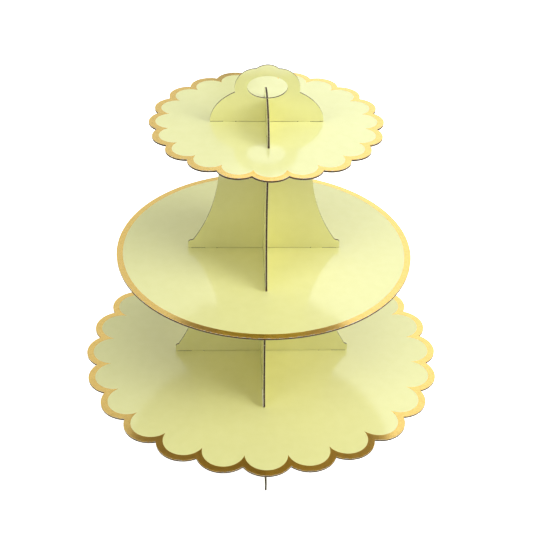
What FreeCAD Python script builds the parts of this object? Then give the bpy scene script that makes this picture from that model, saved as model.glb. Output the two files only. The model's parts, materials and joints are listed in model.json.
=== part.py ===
import FreeCAD, Part
import math
import os

# Three-tier cake stand of die-cut board, millimetres, +Z up.
# The origin is on the table, on the stand's axis.  Every tier is a round plate carried by a
# cross of two upright panels that half-lap into each other.  One panel of each cross lies in the
# X plane and the other in the Y plane.  Everything slots together vertically, without glue.

Vector = FreeCAD.Vector
Z_AXIS = Vector(0, 0, 1)
ORIGIN = Vector(0, 0, 0)

# Board: a greyboard core with a printed paper glued to each face.
PAPER = 0.15
CORE = 1.30
BOARD = CORE + 2 * PAPER
FOIL = 0.05

# Heights of the plates' top faces, and of the whole stand.
BOTTOM_PLATE_TOP = 37.0
MIDDLE_PLATE_TOP = 154.5
TOP_PLATE_TOP = 279.7
OVERALL_HEIGHT = 330.0

# The panels stand this far off the plate below them, because cut board is never quite flat.
SEAT_GAP = 0.3

# A shape that cuts reaches this far past what it cuts.
CUT_PAST = 1.0

# Scalloped bottom plate: radii of the lobe tips and of the valleys between the lobes,
# for the board's outline and for the inner edge of its gold border.
BOTTOM_LOBES = 24
BOTTOM_TIP = 164.5
BOTTOM_VALLEY = 154.8
BOTTOM_BORDER_TIP = 158.3
BOTTOM_BORDER_VALLEY = 141.6

# Plain round middle plate.
MIDDLE_RADIUS = 130.0
MIDDLE_BORDER_RADIUS = 124.5

# Scalloped top plate.
TOP_LOBES = 20
TOP_TIP = 97.0
TOP_VALLEY = 90.6
TOP_BORDER_TIP = 91.5
TOP_BORDER_VALLEY = 81.5

# Half widths of the panels where they stand on a plate.
HANDLE_HALF = 46.8
UPPER_COLUMN_HALF = 67.0
LOWER_COLUMN_HALF = 81.0
FOOT_HALF = 145.5

# The columns' sides are one concave arc.  Its narrowest place is the waist.
FLARE_RADIUS = 131.8
UPPER_WAIST_HALF = 39.7
UPPER_WAIST_HEIGHT = 82.5
LOWER_WAIST_HALF = 58.6
LOWER_WAIST_HEIGHT = 77.5

# The moulded toe at the end of every column base: an upright end, a rounded step and a hollow.
TOE_UPRIGHT = 5.4
TOE_ROUND = 2.6
TOE_HOLLOW_RISE = 1.5
TOE_HOLLOW_SAG = 0.3

# Base cross: top edge, arched underside and feet.
BASE_SHOULDER_HALF = 122.0
FOOT_SOLE = 27.0
ARCH_RISE = 14.0
BASE_SIDE_SAG = 0.14

# Handle: a low half-elliptic skirt, a cloud of three round lobes, and an oval finger hole.
SKIRT_HEIGHT = 31.7
SIDE_LOBE_X = 9.4
SIDE_LOBE_Z = 29.8
SIDE_LOBE_RADIUS = 17.2
TOP_LOBE_RADIUS = 14.7
HOLE_CENTRE_Z = 30.9
HOLE_HALF_WIDTH = 16.5
HOLE_HALF_HEIGHT = 9.9
RIB_HEIGHT = 20.8

# Joinery.
LAP_WIDTH = BOARD + 0.2
LAP_CLEARANCE = 0.25
PLATE_SLOT_WIDTH = BOARD + 0.4
PLATE_SLOT_INNER_CLEARANCE = 1.0
PLATE_SLOT_OUTER_CLEARANCE = 0.5
TAB_DROP = 8.0
TAB_CHAMFER = 1.5
NOTCH_SIDE_CLEARANCE = 0.6
NOTCH_END_CLEARANCE = 1.0
TENON_BELOW_FLUSH = 0.1
TAB_ROOT = 2.0

# Radial reach of the tabs that hang from each cross into the cross below, inner and outer end.
HANDLE_TAB = (26.0, 36.0)
UPPER_TAB = (42.0, 52.0)
LOWER_TAB = (55.0, 66.0)

# Outer ends of the tenons on each cross's top edge.
BASE_TENON_END = 79.0
LOWER_TENON_END = 63.8
UPPER_TENON_END = 45.8


# ---- flat outlines ---------------------------------------------------------------------------

def point(x, z):
    """A point of a panel's outline, drawn in the X-Z plane."""
    return Vector(x, 0, z)


def line(start, end):
    return Part.LineSegment(start, end).toShape()


def arc(start, middle, end):
    return Part.Arc(start, middle, end).toShape()


def mirrored(edges):
    """The same edges on the other side of the panel's centre line."""
    return [edge.mirror(ORIGIN, Vector(1, 0, 0)) for edge in edges]


def face_of(edges):
    """The flat face inside a closed loop of edges given in any order."""
    return Part.Face(Part.Wire(Part.__sortEdges__(edges)))


def polyline(points):
    return [line(a, b) for a, b in zip(points[:-1], points[1:])]


def rectangle(x_low, x_high, z_low, z_high):
    corners = [point(x_low, z_low), point(x_high, z_low), point(x_high, z_high), point(x_low, z_high)]
    return face_of(polyline(corners + corners[:1]))


def both_sides(face):
    return [face, face.mirror(ORIGIN, Vector(1, 0, 0))]


# ---- plates ----------------------------------------------------------------------------------

def polar(radius, angle):
    return Vector(radius * math.cos(angle), radius * math.sin(angle), 0)


def scalloped_wire(lobes, tip_radius, valley_radius):
    """Equal round lobes, one of them pointing along -Y."""
    step = 2 * math.pi / lobes
    edges = []
    for lobe in range(lobes):
        middle = -math.pi / 2 + lobe * step
        valleys = [polar(valley_radius, middle - step / 2), polar(valley_radius, middle + step / 2)]
        edges.append(arc(valleys[0], polar(tip_radius, middle), valleys[1]))
    return Part.Wire(edges)


def round_wire(radius):
    return Part.Wire([Part.makeCircle(radius)])


def plate_slots(inner, outer, top):
    """Four slots in a cross that take the tabs of the panels above and below the plate."""
    corner = Vector(inner, -PLATE_SLOT_WIDTH / 2, top - BOARD - CUT_PAST)
    blank = Part.makeBox(outer - inner, PLATE_SLOT_WIDTH, BOARD + 2 * CUT_PAST, corner)
    slots = []
    for quarter in range(4):
        slot = blank.copy()
        slot.rotate(ORIGIN, Z_AXIS, 90 * quarter)
        slots.append(slot)
    return slots


def layer(face, bottom, thickness):
    """A sheet of the given outline, lying flat."""
    sheet = face.copy()
    sheet.translate(Vector(0, 0, bottom))
    return sheet.extrude(Vector(0, 0, thickness))


def plate(name, top, outline, border, tab, tenon_end):
    """Core, two papers and the gold border of one plate, whose upper paper ends at the height top."""
    inner = tab[0] - PLATE_SLOT_INNER_CLEARANCE
    outer = tenon_end + PLATE_SLOT_OUTER_CLEARANCE
    slots = plate_slots(inner, outer, top)
    full = Part.Face(outline)
    ring = full.cut(Part.Face(border))
    layers = {
        "core": (full, top - PAPER - CORE, CORE),
        "top_paper": (full, top - PAPER, PAPER),
        "underside_paper": (full, top - BOARD, PAPER),
    }
    pieces = {}
    for label, (face, bottom, thickness) in layers.items():
        pieces[f"{name}_{label}"] = layer(face, bottom, thickness).cut(slots)
    pieces[f"{name}_gold_border"] = layer(ring, top, FOIL)
    return pieces


# ---- panels ----------------------------------------------------------------------------------

def column_side(floor, half, waist_half, waist_height, top):
    """Right-hand side of a column panel, from the toe up the concave flare to its top corner."""
    centre = point(waist_half + FLARE_RADIUS, floor + waist_height)

    def flare(z):
        reach = math.sqrt(FLARE_RADIUS ** 2 - (z - centre.z) ** 2)
        return point(centre.x - reach, z)

    toe_low = floor + SEAT_GAP
    step_z = floor + TOE_UPRIGHT
    round_centre_x = half - TOE_ROUND
    diagonal = TOE_ROUND * math.sqrt(0.5)
    round_middle = point(round_centre_x + diagonal, step_z + diagonal)
    round_end = point(round_centre_x, step_z + TOE_ROUND)
    flare_start = flare(round_end.z + TOE_HOLLOW_RISE)
    hollow_middle = point((round_end.x + flare_start.x) / 2, round_end.z + TOE_HOLLOW_SAG)
    edges = [
        line(point(half, toe_low), point(half, step_z)),
        arc(point(half, step_z), round_middle, round_end),
        arc(round_end, hollow_middle, flare_start),
        arc(flare_start, flare((flare_start.z + top) / 2), flare(top)),
    ]
    return edges, flare(top)


def column_face(floor, half, waist_half, waist_height, top):
    """A column panel's blank, from just off the plate below to the underside of the plate above."""
    side, corner = column_side(floor, half, waist_half, waist_height, top)
    low = floor + SEAT_GAP
    ends = [line(point(-half, low), point(half, low)), line(point(-corner.x, top), corner)]
    return face_of(side + mirrored(side) + ends)


def base_face(top):
    """A base panel's blank: shoulders, two spreading feet and an arched underside."""
    sole_inner = FOOT_HALF - FOOT_SOLE
    step_z = TOE_UPRIGHT
    round_end = point(FOOT_HALF - TOE_ROUND, step_z + TOE_ROUND)
    diagonal = TOE_ROUND * math.sqrt(0.5)
    round_middle = point(round_end.x + diagonal, step_z + diagonal)
    shoulder = point(BASE_SHOULDER_HALF, top)
    span = shoulder - round_end
    sag = BASE_SIDE_SAG * span.Length
    across = Vector(-span.z, 0, span.x).normalize()
    hollow_middle = (round_end + shoulder) * 0.5 + across * sag
    side = [
        line(point(sole_inner, 0), point(FOOT_HALF, 0)),
        line(point(FOOT_HALF, 0), point(FOOT_HALF, step_z)),
        arc(point(FOOT_HALF, step_z), round_middle, round_end),
        arc(round_end, hollow_middle, shoulder),
    ]
    middle = [
        line(point(-BASE_SHOULDER_HALF, top), point(BASE_SHOULDER_HALF, top)),
        arc(point(-sole_inner, 0), point(0, ARCH_RISE), point(sole_inner, 0)),
    ]
    return face_of(side + mirrored(side) + middle)


def ellipse_face(half_width, half_height, z):
    edge = Part.Ellipse(ORIGIN, half_width, half_height).toShape()
    edge.rotate(ORIGIN, Vector(1, 0, 0), 90)
    edge.translate(point(0, z))
    return Part.Face(Part.Wire([edge]))


def half_ellipse_face(half_width, height, floor):
    """The upper half of an ellipse, standing just off the height floor."""
    side = half_width + CUT_PAST
    above = rectangle(-side, side, floor + SEAT_GAP, floor + height + CUT_PAST)
    return ellipse_face(half_width, height, floor).common(above).Faces[0]


def disc_face(x, z, radius):
    return Part.Face(Part.Wire([Part.makeCircle(radius, point(x, z), Vector(0, 1, 0))]))


def cloud_faces(floor):
    """The three round lobes at the top of the handle."""
    top_lobe_z = OVERALL_HEIGHT - TOP_LOBE_RADIUS
    lobes = [disc_face(side * SIDE_LOBE_X, floor + SIDE_LOBE_Z, SIDE_LOBE_RADIUS) for side in (-1, 1)]
    return lobes + [disc_face(0, top_lobe_z, TOP_LOBE_RADIUS)]


# ---- joinery of the panels -------------------------------------------------------------------

def hanging_tabs(tab, floor):
    """Tabs under a panel that pass through the plate and enter the notches of the panel below."""
    inner, outer = tab
    tip = floor - BOARD - TAB_DROP
    root = floor + SEAT_GAP + TAB_ROOT
    outline = [
        point(inner, root),
        point(inner, tip + TAB_CHAMFER),
        point(inner + TAB_CHAMFER, tip),
        point(outer - TAB_CHAMFER, tip),
        point(outer, tip + TAB_CHAMFER),
        point(outer, root),
    ]
    return both_sides(face_of(polyline(outline + outline[:1])))


def notches(tab, top):
    """Open notches in a panel's top edge for the tabs of the panel above."""
    inner = tab[0] - NOTCH_SIDE_CLEARANCE
    outer = tab[1] + NOTCH_SIDE_CLEARANCE
    depth = TAB_DROP + NOTCH_END_CLEARANCE
    return both_sides(rectangle(inner, outer, top - depth, top + BOARD + CUT_PAST))


def tenons(tab, end, top):
    """Short tenons on a panel's top edge that hold the plate in place, just under flush with it."""
    inner = tab[1] + NOTCH_SIDE_CLEARANCE
    return both_sides(rectangle(inner, end, top - TAB_ROOT, top + BOARD - TENON_BELOW_FLUSH))


def lap_slot(low, high, opens_up, middle):
    """The half-lap slot at a panel's centre line, open at its top or at its bottom edge."""
    if opens_up:
        return rectangle(-LAP_WIDTH / 2, LAP_WIDTH / 2, middle - LAP_CLEARANCE, high + CUT_PAST)
    return rectangle(-LAP_WIDTH / 2, LAP_WIDTH / 2, low - CUT_PAST, middle + LAP_CLEARANCE)


def sheet_of(faces, start, thickness):
    """One sheet made of the given outlines together, from the depth start on."""
    sheets = [face.extrude(Vector(0, thickness, 0)) for face in faces]
    whole = sheets[0]
    if len(sheets) > 1:
        whole = whole.fuse(sheets[1:]).removeSplitter()
    whole.translate(Vector(0, start, 0))
    return whole


def panel(name, outlines, cut_outs, across_y):
    """Core and two papers of an upright panel, standing in the X plane or turned into the Y plane."""
    layers = {
        "core": (-CORE / 2, CORE),
        "front_paper": (-BOARD / 2, PAPER),
        "back_paper": (CORE / 2, PAPER),
    }
    reach = BOARD / 2 + CUT_PAST
    waste = [face.extrude(Vector(0, 2 * reach, 0)) for face in cut_outs]
    for shape in waste:
        shape.translate(Vector(0, -reach, 0))
    pieces = {}
    for label, (start, thickness) in layers.items():
        solid = sheet_of(outlines, start, thickness).cut(waste)
        if across_y:
            solid.rotate(ORIGIN, Z_AXIS, 90)
        pieces[f"{name}_{label}"] = solid
    return pieces


def base_cross():
    top = BOTTOM_PLATE_TOP - BOARD
    outlines = [base_face(top)] + tenons(LOWER_TAB, BASE_TENON_END, top)
    pieces = {}
    for letter, across_y in (("a", False), ("b", True)):
        slot = lap_slot(0, top, opens_up=not across_y, middle=(ARCH_RISE + top) / 2)
        cut_outs = notches(LOWER_TAB, top) + [slot]
        pieces.update(panel(f"base_panel_{letter}", outlines, cut_outs, across_y))
    return pieces


def column_cross(name, floor, top, half, waist, own_tab, tab_above, tenon_end):
    """Both panels of one column; waist is the half width of the narrowest place and its height."""
    blank = column_face(floor, half, waist[0], waist[1], top)
    outlines = [blank] + hanging_tabs(own_tab, floor) + tenons(tab_above, tenon_end, top)
    pieces = {}
    for letter, across_y in (("a", False), ("b", True)):
        slot = lap_slot(floor, top, opens_up=not across_y, middle=(floor + top) / 2)
        cut_outs = notches(tab_above, top) + [slot]
        pieces.update(panel(f"{name}_panel_{letter}", outlines, cut_outs, across_y))
    return pieces


def handle_cross():
    """The rib in the Y plane, and the grip in the X plane that drops over it."""
    floor = TOP_PLATE_TOP
    rib_top = floor + RIB_HEIGHT
    middle = floor + RIB_HEIGHT / 2
    tabs = hanging_tabs(HANDLE_TAB, floor)
    rib = [half_ellipse_face(HANDLE_HALF, RIB_HEIGHT, floor)] + tabs
    rib_slot = lap_slot(floor, rib_top, opens_up=True, middle=middle)
    pieces = panel("handle_rib", rib, [rib_slot], across_y=True)
    grip = [half_ellipse_face(HANDLE_HALF, SKIRT_HEIGHT, floor)] + cloud_faces(floor) + tabs
    hole = ellipse_face(HOLE_HALF_WIDTH, HOLE_HALF_HEIGHT, floor + HOLE_CENTRE_Z)
    grip_slot = lap_slot(floor, rib_top, opens_up=False, middle=middle)
    pieces.update(panel("handle_grip", grip, [hole, grip_slot], across_y=False))
    return pieces


# ---- the whole stand -------------------------------------------------------------------------

def plates():
    bottom_outline = scalloped_wire(BOTTOM_LOBES, BOTTOM_TIP, BOTTOM_VALLEY)
    bottom_border = scalloped_wire(BOTTOM_LOBES, BOTTOM_BORDER_TIP, BOTTOM_BORDER_VALLEY)
    top_outline = scalloped_wire(TOP_LOBES, TOP_TIP, TOP_VALLEY)
    top_border = scalloped_wire(TOP_LOBES, TOP_BORDER_TIP, TOP_BORDER_VALLEY)
    middle_outline = round_wire(MIDDLE_RADIUS)
    middle_border = round_wire(MIDDLE_BORDER_RADIUS)
    bottom = plate(
        "bottom_plate", BOTTOM_PLATE_TOP, bottom_outline, bottom_border, LOWER_TAB, BASE_TENON_END
    )
    middle = plate(
        "middle_plate", MIDDLE_PLATE_TOP, middle_outline, middle_border, UPPER_TAB, LOWER_TENON_END
    )
    top = plate("top_plate", TOP_PLATE_TOP, top_outline, top_border, HANDLE_TAB, UPPER_TENON_END)
    return bottom | middle | top


def columns():
    lower = column_cross(
        "lower_column",
        floor=BOTTOM_PLATE_TOP,
        top=MIDDLE_PLATE_TOP - BOARD,
        half=LOWER_COLUMN_HALF,
        waist=(LOWER_WAIST_HALF, LOWER_WAIST_HEIGHT),
        own_tab=LOWER_TAB,
        tab_above=UPPER_TAB,
        tenon_end=LOWER_TENON_END,
    )
    upper = column_cross(
        "upper_column",
        floor=MIDDLE_PLATE_TOP,
        top=TOP_PLATE_TOP - BOARD,
        half=UPPER_COLUMN_HALF,
        waist=(UPPER_WAIST_HALF, UPPER_WAIST_HEIGHT),
        own_tab=UPPER_TAB,
        tab_above=HANDLE_TAB,
        tenon_end=UPPER_TENON_END,
    )
    return lower | upper


def single_solid(shape, name):
    """The one solid of a piece, or an error that names the piece."""
    if len(shape.Solids) != 1 or not shape.Solids[0].isValid():
        raise ValueError(f"{name} is not one valid solid")
    return shape.Solids[0]


def main():
    os.makedirs("parts", exist_ok=True)
    pieces = {}
    for group in (base_cross(), plates(), columns(), handle_cross()):
        pieces.update(group)
    for name, shape in pieces.items():
        single_solid(shape, name).exportStep(f"parts/{name}.step")
    print(f"{len(pieces)} pieces")


main()
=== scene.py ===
import json
import math

import bpy
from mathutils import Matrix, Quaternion, Vector


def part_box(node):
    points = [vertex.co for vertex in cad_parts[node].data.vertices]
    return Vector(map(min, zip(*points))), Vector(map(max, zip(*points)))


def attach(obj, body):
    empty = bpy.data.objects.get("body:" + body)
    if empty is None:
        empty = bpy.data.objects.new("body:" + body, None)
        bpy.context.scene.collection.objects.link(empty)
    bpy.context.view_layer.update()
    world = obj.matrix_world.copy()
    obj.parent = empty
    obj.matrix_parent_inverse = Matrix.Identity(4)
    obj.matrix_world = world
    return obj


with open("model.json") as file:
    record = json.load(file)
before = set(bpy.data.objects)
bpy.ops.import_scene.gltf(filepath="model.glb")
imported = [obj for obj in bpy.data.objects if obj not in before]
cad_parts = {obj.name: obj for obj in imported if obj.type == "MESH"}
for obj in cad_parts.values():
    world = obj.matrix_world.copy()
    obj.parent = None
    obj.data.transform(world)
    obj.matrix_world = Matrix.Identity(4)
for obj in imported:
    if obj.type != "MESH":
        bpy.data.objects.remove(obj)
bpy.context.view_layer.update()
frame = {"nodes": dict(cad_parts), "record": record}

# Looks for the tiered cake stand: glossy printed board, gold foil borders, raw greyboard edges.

MM = 0.001

# The camera is in front of the stand and looks down on it.  Places are in metres, the roll is in
# radians, and the lens and its sensor are in millimetres.
CAMERA_PLACE = Vector((-0.0363, -0.8196, 0.7056))
CAMERA_TARGET = Vector((0.0028, 0.0, 0.1335))
CAMERA_ROLL = 0.0249
CAMERA_LENS = 75.1
SENSOR_WIDTH = 36.0

# The grip's top is the top of the stand.
STAND_CENTRE = Vector((0, 0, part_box("handle_grip_core")[1].z / 2))

WORLD_LIGHT = 0.26
FLOOR_GLOW = 0.75
KEY_WATTS = 38
FILL_WATTS = 18
TOP_WATTS = 8
BACK_RIGHT_WATTS = 17
BACK_LEFT_WATTS = 9
CARD_WATTS = 10
LAMP_SIZE = (1.6, 1.6)
TOP_SIZE = (1.3, 0.9)
CARD_SIZE = (3.0, 2.2)
LIGHT_COLOUR = (0.95, 1.0, 0.96)

FLOOR_SIZE = 12

# Where each light stands, in metres from the middle of the table top.
KEY_PLACE = (1.9, -0.7, 1.3)
FILL_PLACE = (-1.9, -1.2, 1.6)
TOP_PLACE = (0.1, -0.9, 2.1)
BACK_RIGHT_PLACE = (1.4, 2.3, 1.5)
BACK_LEFT_PLACE = (-1.4, 2.3, 1.5)
CARD_PLACES = {
    "card_left": (-2.7, 0.0, 1.5),
    "card_right": (2.7, 0.0, 1.5),
    "card_front_left": (-1.4, -2.3, 1.5),
    "card_front_right": (1.4, -2.3, 1.5),
    "card_above": (0.0, 0.0, 2.4),
}

# Ink, paper, board and foil colours, as linear light.
YELLOW_INK = (0.865, 0.825, 0.405, 1)
YELLOW_INK_DEEP = (0.85, 0.81, 0.385, 1)
PAPER_STOCK = (0.60, 0.56, 0.48, 1)
LINER = (0.60, 0.51, 0.42, 1)
LINER_DARK = (0.52, 0.44, 0.36, 1)
LINER_FIBRE = (0.66, 0.60, 0.52, 1)
GREYBOARD_DARK = (0.040, 0.024, 0.015, 1)
GREYBOARD_LIGHT = (0.14, 0.088, 0.060, 1)
GREYBOARD_FLECK = (0.50, 0.42, 0.36, 1)
GOLD = (0.97, 0.67, 0.255, 1)
GOLD_WORN = (0.90, 0.61, 0.215, 1)
# Pale paper colour for the foil rim: partly white paper under cracked foil, partly a painted
# highlight along the cut edge.
RIM_PAPER_AND_GLINT = (0.90, 0.86, 0.76, 1)

# The boards are never quite flat: how far apart their bows lie, and how high they are.
BOW_LENGTH = 90 * MM
BOW_HEIGHT = 0.12 * MM

# The pressed fibre layers of greyboard run this many times further than they are thick.
LAYER_RUN = 12

# The plates' outlines: lobes, and the radii of the lobe tips and of the valleys between them.
BOTTOM_LOBES = 24
BOTTOM_TIP = 164.5 * MM
BOTTOM_VALLEY = 154.8 * MM
TOP_LOBES = 20
TOP_TIP = 97.0 * MM
TOP_VALLEY = 90.6 * MM

# The rim's own thickness, how far its middle lies inside the outline, and how finely the
# outlines are drawn.
RIM_RADIUS = 0.16 * MM
RIM_INSET = 0.1 * MM
LOBE_STEPS = 16
CIRCLE_STEPS = 240


# ---- node helpers ----------------------------------------------------------------------------

class Nodes:
    """A material's node tree, with short names for the nodes that the materials share."""

    def __init__(self, name):
        self.material = bpy.data.materials.new(name)
        self.material.use_nodes = True
        self.tree = self.material.node_tree
        self.shader = self.tree.nodes["Principled BSDF"]

    def add(self, kind, **settings):
        node = self.tree.nodes.new(kind)
        for key, value in settings.items():
            setattr(node, key, value)
        return node

    def link(self, source, target):
        self.tree.links.new(source, target)

    def place(self):
        """Places on the piece itself, in metres, which move with it."""
        return self.add("ShaderNodeTexCoord").outputs["Object"]

    def noise(self, place, wavelength, detail=2.0, stretch=(1, 1, 1)):
        """Noise between 0 and 1 whose features are about one wavelength across, in metres."""
        mapping = self.add("ShaderNodeMapping")
        mapping.inputs["Scale"].default_value = [1 / (wavelength * s) for s in stretch]
        self.link(place, mapping.inputs["Vector"])
        noise = self.add("ShaderNodeTexNoise")
        noise.inputs["Scale"].default_value = 1.0
        noise.inputs["Detail"].default_value = detail
        self.link(mapping.outputs["Vector"], noise.inputs["Vector"])
        return noise.outputs["Fac"]

    def spread(self, value, low, high, out_low=0.0, out_high=1.0):
        """Maps low..high to out_low..out_high, and stops at the ends."""
        ramp = self.add("ShaderNodeMapRange", clamp=True)
        ramp.inputs["From Min"].default_value = low
        ramp.inputs["From Max"].default_value = high
        ramp.inputs["To Min"].default_value = out_low
        ramp.inputs["To Max"].default_value = out_high
        self.link(value, ramp.inputs["Value"])
        return ramp.outputs["Result"]

    def mix(self, factor, low, high):
        """Blends two colours, each given as a colour or as a socket."""
        blend = self.add("ShaderNodeMix", data_type="RGBA")
        self.link(factor, blend.inputs["Factor"])
        for socket, colour in (("A", low), ("B", high)):
            target = next(s for s in blend.inputs if s.name == socket and s.type == "RGBA")
            if isinstance(colour, tuple):
                target.default_value = colour
            else:
                self.link(colour, target)
        return next(s for s in blend.outputs if s.type == "RGBA")

    def bump(self, layers):
        """Stacks bumps: each layer is a height socket and its height in metres."""
        normal = None
        for height, depth in layers:
            bump = self.add("ShaderNodeBump")
            bump.inputs["Strength"].default_value = 1.0
            bump.inputs["Distance"].default_value = depth
            self.link(height, bump.inputs["Height"])
            if normal is not None:
                self.link(normal, bump.inputs["Normal"])
            normal = bump.outputs["Normal"]
        return normal

    def cut_edge(self, axis):
        """1 on a sheet's cut edges and 0 on its faces, for a sheet that faces along axis."""
        normal = self.add("ShaderNodeTexCoord").outputs["Normal"]
        parts = self.add("ShaderNodeSeparateXYZ")
        self.link(normal, parts.inputs["Vector"])
        size = self.add("ShaderNodeMath", operation="ABSOLUTE")
        self.link(parts.outputs[axis], size.inputs[0])
        return self.spread(size.outputs["Value"], 0.4, 0.6, 1.0, 0.0)


def set_inputs(shader, values):
    """Sets the shader's own sockets by name."""
    for name, value in values.items():
        shader.inputs[name].default_value = value


# ---- materials -------------------------------------------------------------------------------

def board_bow(nodes, place):
    """The board's slow warp, as one layer of a bump."""
    return nodes.noise(place, BOW_LENGTH, 0.0), BOW_HEIGHT


def printed_paper(axis):
    """Pale yellow print under a glossy film, with bare paper where the sheet is cut."""
    nodes = Nodes(f"yellow_print_{axis}")
    place = nodes.place()
    mottle = nodes.spread(nodes.noise(place, 9 * MM, 3.0), 0.35, 0.65)
    ink = nodes.mix(mottle, YELLOW_INK, YELLOW_INK_DEEP)
    colour = nodes.mix(nodes.cut_edge(axis), ink, PAPER_STOCK)
    nodes.link(colour, nodes.shader.inputs["Base Color"])
    peel = nodes.noise(place, 5 * MM, 1.0)
    fibre = nodes.noise(place, 0.6 * MM, 1.0)
    normal = nodes.bump([board_bow(nodes, place), (peel, 0.002 * MM), (fibre, 0.0003 * MM)])
    nodes.link(normal, nodes.shader.inputs["Normal"])
    nodes.link(normal, nodes.shader.inputs["Coat Normal"])
    set_inputs(nodes.shader, {
        "Roughness": 0.5,
        "Specular IOR Level": 0.3,
        "Coat Weight": 1.0,
        "Coat Roughness": 0.12,
        "Coat IOR": 1.9,
    })
    return nodes.material


def liner_paper():
    """Plain grey-brown recycled liner on the plates' undersides, with paler fibres in it."""
    nodes = Nodes("grey_liner")
    place = nodes.place()
    mottle = nodes.spread(nodes.noise(place, 7 * MM, 4.0), 0.3, 0.7)
    pulp = nodes.mix(mottle, LINER, LINER_DARK)
    fibres = nodes.spread(nodes.noise(place, 1.2 * MM, 2.0, (1, 3, 1)), 0.60, 0.68, 0.0, 0.6)
    nodes.link(nodes.mix(fibres, pulp, LINER_FIBRE), nodes.shader.inputs["Base Color"])
    fibre = nodes.noise(place, 0.5 * MM, 3.0)
    normal = nodes.bump([board_bow(nodes, place), (fibre, 0.01 * MM)])
    nodes.link(normal, nodes.shader.inputs["Normal"])
    set_inputs(nodes.shader, {"Roughness": 0.65, "Specular IOR Level": 0.35})
    return nodes.material


def greyboard(axis):
    """Raw grey-brown board: pressed fibre layers that run along the sheet, with pale flecks."""
    nodes = Nodes(f"greyboard_{axis}")
    place = nodes.place()
    stretch = [1 if side == axis else LAYER_RUN for side in "XYZ"]
    layers = nodes.spread(nodes.noise(place, 0.12 * MM, 4.0, stretch), 0.3, 0.7)
    fibre = nodes.noise(place, 0.35 * MM, 4.0)
    base = nodes.mix(layers, GREYBOARD_DARK, GREYBOARD_LIGHT)
    flecks = nodes.spread(nodes.noise(place, 1.4 * MM, 3.0), 0.62, 0.72)
    nodes.link(nodes.mix(flecks, base, GREYBOARD_FLECK), nodes.shader.inputs["Base Color"])
    nodes.link(nodes.bump([(layers, 0.03 * MM), (fibre, 0.05 * MM)]), nodes.shader.inputs["Normal"])
    set_inputs(nodes.shader, {"Roughness": 0.85, "Specular IOR Level": 0.3})
    return nodes.material


def gold_foil():
    """Hot-stamped gold foil, satin from the board's grain beneath it."""
    nodes = Nodes("gold_foil")
    place = nodes.place()
    wear = nodes.spread(nodes.noise(place, 3 * MM, 5.0), 0.45, 0.75)
    nodes.link(nodes.mix(wear, GOLD, GOLD_WORN), nodes.shader.inputs["Base Color"])
    rough = nodes.spread(nodes.noise(place, 2.5 * MM, 3.0), 0.3, 0.7, 0.14, 0.22)
    nodes.link(rough, nodes.shader.inputs["Roughness"])
    grain = nodes.noise(place, 0.8 * MM, 3.0)
    normal = nodes.bump([board_bow(nodes, place), (grain, 0.0012 * MM)])
    nodes.link(normal, nodes.shader.inputs["Normal"])
    set_inputs(nodes.shader, {"Metallic": 1.0})
    return nodes.material


def sheet_axis(node_name):
    """The axis that a board faces along, from its node's thinnest side."""
    low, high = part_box(node_name)
    size = high - low
    return "XYZ"[min(range(3), key=lambda i: size[i])]


def material_for(slot, axis):
    """The material of one of the record's slots, for a sheet that faces along axis."""
    if slot == "yellow_laminated_paper":
        return printed_paper(axis)
    if slot == "greyboard":
        return greyboard(axis)
    if slot == "grey_liner_paper":
        return liner_paper()
    return gold_foil()


def dress_nodes():
    """Gives every CAD node its material by the record's slot."""
    slots = {part["node"]: part["material_slot"] for part in frame["record"]["subparts"]}
    made = {}
    for name, piece in frame["nodes"].items():
        key = (slots[name], sheet_axis(name))
        if key not in made:
            made[key] = material_for(*key)
        piece.data.materials.clear()
        piece.data.materials.append(made[key])


# ---- the rounded rim that the cutting die leaves round each plate's foil -----------------------

def scalloped(lobes, tip, valley):
    """Points round an outline of equal round lobes, one of them pointing along -Y."""
    half_step = math.pi / lobes
    run = valley * math.sin(half_step)
    rise = tip - valley * math.cos(half_step)
    radius = (run * run + rise * rise) / (2 * rise)
    reach = math.asin(run / radius)
    if rise > radius:
        reach = math.pi - reach
    points = []
    for lobe in range(lobes):
        turn = -math.pi / 2 + 2 * half_step * lobe
        outward = Vector((math.cos(turn), math.sin(turn), 0))
        sideways = Vector((-math.sin(turn), math.cos(turn), 0))
        centre = outward * (tip - radius)
        for step in range(LOBE_STEPS):
            angle = reach * (2 * step / LOBE_STEPS - 1)
            spoke = outward * math.cos(angle) + sideways * math.sin(angle)
            points.append(centre + spoke * radius)
    return points


def circle(radius):
    turns = [2 * math.pi * step / CIRCLE_STEPS for step in range(CIRCLE_STEPS)]
    return [Vector((radius * math.cos(turn), radius * math.sin(turn), 0)) for turn in turns]


def foil_rim_metal():
    """Gold foil creased over the cut edge, with pale non-metal flecks: partly white paper where the
    foil is cracked, partly a painted highlight along the edge.
    """
    nodes = Nodes("foil_rim")
    place = nodes.place()
    # The pale flecks lose their metal and take the paper colour: partly cracked foil, partly a
    # painted highlight along the cut edge.
    cracks_and_glint = nodes.spread(nodes.noise(place, 2.2 * MM, 4.0), 0.48, 0.56)
    nodes.link(nodes.mix(cracks_and_glint, GOLD, RIM_PAPER_AND_GLINT), nodes.shader.inputs["Base Color"])
    nodes.link(nodes.spread(cracks_and_glint, 0, 1, 1, 0), nodes.shader.inputs["Metallic"])
    rough = nodes.spread(nodes.noise(place, 0.9 * MM, 2.0), 0.3, 0.7, 0.25, 0.5)
    nodes.link(rough, nodes.shader.inputs["Roughness"])
    return nodes.material


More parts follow.
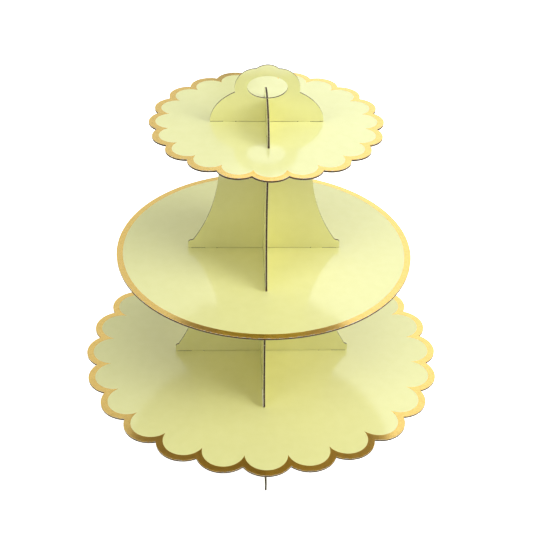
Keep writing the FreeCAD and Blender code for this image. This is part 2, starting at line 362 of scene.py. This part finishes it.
def make_rim(plate, points, metal):
    """A fine round bead along a plate's outline, level with its printed face."""
    top_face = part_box(f"{plate}_top_paper")[1].z
    curve = bpy.data.curves.new(f"{plate}_cut_rim", "CURVE")
    curve.dimensions = "3D"
    curve.bevel_depth = RIM_RADIUS
    curve.bevel_resolution = 2
    spline = curve.splines.new("POLY")
    spline.points.add(len(points) - 1)
    spline.use_cyclic_u = True
    for knot, place in zip(spline.points, points):
        knot.co = (place.x, place.y, top_face - RIM_RADIUS / 2, 1)
    curve.materials.append(metal)
    rim = bpy.data.objects.new(f"{plate}_cut_rim", curve)
    bpy.context.scene.collection.objects.link(rim)
    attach(rim, plate)


def make_rims():
    metal = foil_rim_metal()
    bottom = scalloped(BOTTOM_LOBES, BOTTOM_TIP - RIM_INSET, BOTTOM_VALLEY - RIM_INSET)
    middle = circle(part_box("middle_plate_top_paper")[1].x - RIM_INSET)
    top = scalloped(TOP_LOBES, TOP_TIP - RIM_INSET, TOP_VALLEY - RIM_INSET)
    make_rim("bottom_plate", bottom, metal)
    make_rim("middle_plate", middle, metal)
    make_rim("top_plate", top, metal)


# ---- studio ----------------------------------------------------------------------------------

def aim(thing, target, roll=0.0):
    """Points a camera or a light at a place, with its top upward."""
    turn = (target - thing.location).to_track_quat("-Z", "Y")
    thing.rotation_mode = "QUATERNION"
    thing.rotation_quaternion = turn @ Quaternion((0, 0, 1), roll)


def make_camera():
    data = bpy.data.cameras.new("camera")
    data.lens = CAMERA_LENS
    data.sensor_width = SENSOR_WIDTH
    data.dof.use_dof = False
    camera = bpy.data.objects.new("camera", data)
    bpy.context.scene.collection.objects.link(camera)
    camera.location = CAMERA_PLACE
    aim(camera, CAMERA_TARGET, CAMERA_ROLL)
    bpy.context.scene.camera = camera


def soft_box(name, place, size, watts):
    """A rectangular soft light that faces the middle of the stand."""
    data = bpy.data.lights.new(name, "AREA")
    data.shape = "RECTANGLE"
    data.size = size[0]
    data.size_y = size[1]
    data.energy = watts
    data.color = LIGHT_COLOUR
    light = bpy.data.objects.new(name, data)
    bpy.context.scene.collection.objects.link(light)
    light.location = place
    aim(light, STAND_CENTRE)
    return light


def make_lamps():
    """The lamps in front, kept out of the gloss, where their small images would glare."""
    lamps = (
        ("key", KEY_PLACE, LAMP_SIZE, KEY_WATTS),
        ("fill", FILL_PLACE, LAMP_SIZE, FILL_WATTS),
        ("top", TOP_PLACE, TOP_SIZE, TOP_WATTS),
    )
    for name, place, size, watts in lamps:
        soft_box(name, place, size, watts).visible_glossy = False


def make_back_lights():
    """The two broad lights behind, which are also seen in the glossy film."""
    soft_box("back_right", BACK_RIGHT_PLACE, CARD_SIZE, BACK_RIGHT_WATTS)
    soft_box("back_left", BACK_LEFT_PLACE, CARD_SIZE, BACK_LEFT_WATTS)


def make_cards():
    """Broad dim cards on the other sides and above, which show only in the gloss and the gold."""
    for name, place in CARD_PLACES.items():
        soft_box(name, place, CARD_SIZE, CARD_WATTS).visible_diffuse = False


def make_floor():
    """A pale floor whose own glow shows in the gloss, but throws no light up at the stand."""
    bpy.ops.mesh.primitive_plane_add(size=FLOOR_SIZE)
    floor = bpy.context.object
    floor.name = "floor"
    floor.visible_diffuse = False
    nodes = Nodes("floor")
    set_inputs(nodes.shader, {
        "Base Color": (0.9, 0.9, 0.9, 1),
        "Roughness": 0.9,
        "Emission Color": (1, 1, 1, 1),
        "Emission Strength": FLOOR_GLOW,
    })
    floor.data.materials.append(nodes.material)


def make_world():
    """Soft light from all round, and a plain white backdrop wherever the floor ends."""
    world = bpy.data.worlds.new("studio")
    bpy.context.scene.world = world
    world.use_nodes = True
    tree = world.node_tree
    soft = tree.nodes["Background"]
    soft.inputs["Color"].default_value = (*LIGHT_COLOUR, 1)
    soft.inputs["Strength"].default_value = WORLD_LIGHT
    backdrop = tree.nodes.new("ShaderNodeBackground")
    backdrop.inputs["Color"].default_value = (1, 1, 1, 1)
    path = tree.nodes.new("ShaderNodeLightPath")
    choice = tree.nodes.new("ShaderNodeMixShader")
    tree.links.new(path.outputs["Is Camera Ray"], choice.inputs["Fac"])
    tree.links.new(soft.outputs["Background"], choice.inputs[1])
    tree.links.new(backdrop.outputs["Background"], choice.inputs[2])
    tree.links.new(choice.outputs["Shader"], tree.nodes["World Output"].inputs["Surface"])


def make_studio():
    bpy.context.scene.view_settings.view_transform = "Standard"
    bpy.context.scene.view_settings.look = "Medium High Contrast"
    make_world()
    make_floor()
    make_lamps()
    make_back_lights()
    make_cards()


dress_nodes()
make_rims()
make_studio()
make_camera()
